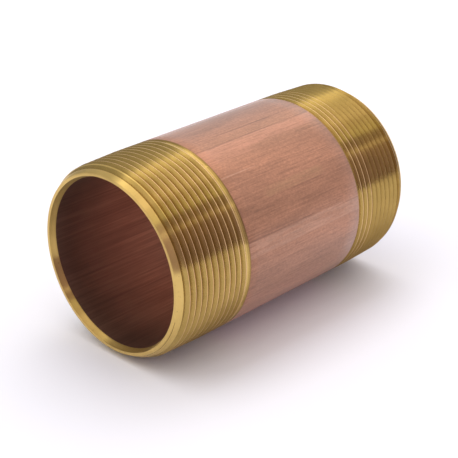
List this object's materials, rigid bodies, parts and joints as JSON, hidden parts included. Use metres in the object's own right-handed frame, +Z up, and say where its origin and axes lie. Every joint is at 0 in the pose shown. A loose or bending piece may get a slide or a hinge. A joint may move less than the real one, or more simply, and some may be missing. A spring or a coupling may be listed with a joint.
{
  "type": "pipe nipple",
  "caption": "Straight threaded pipe nipple: a short length of brass pipe with a tapered male pipe thread on each end and a plain round barrel between them.",
  "frame": {"origin": "middle of the nipple, on its axis", "axes": "+X along the axis from the front end to the back end, +Z up with the nipple lying on its side"},
  "size_m": [0.1016, 0.0604, 0.0604],
  "materials": {
    "red_brass": "drawn pipe with a coppery satin skin on the barrel, fresh cut golden thread and chamfers, dull brown bore"
  },
  "bodies": {
    "root": {"nipple_body": "red_brass"}
  },
  "joints": []
}
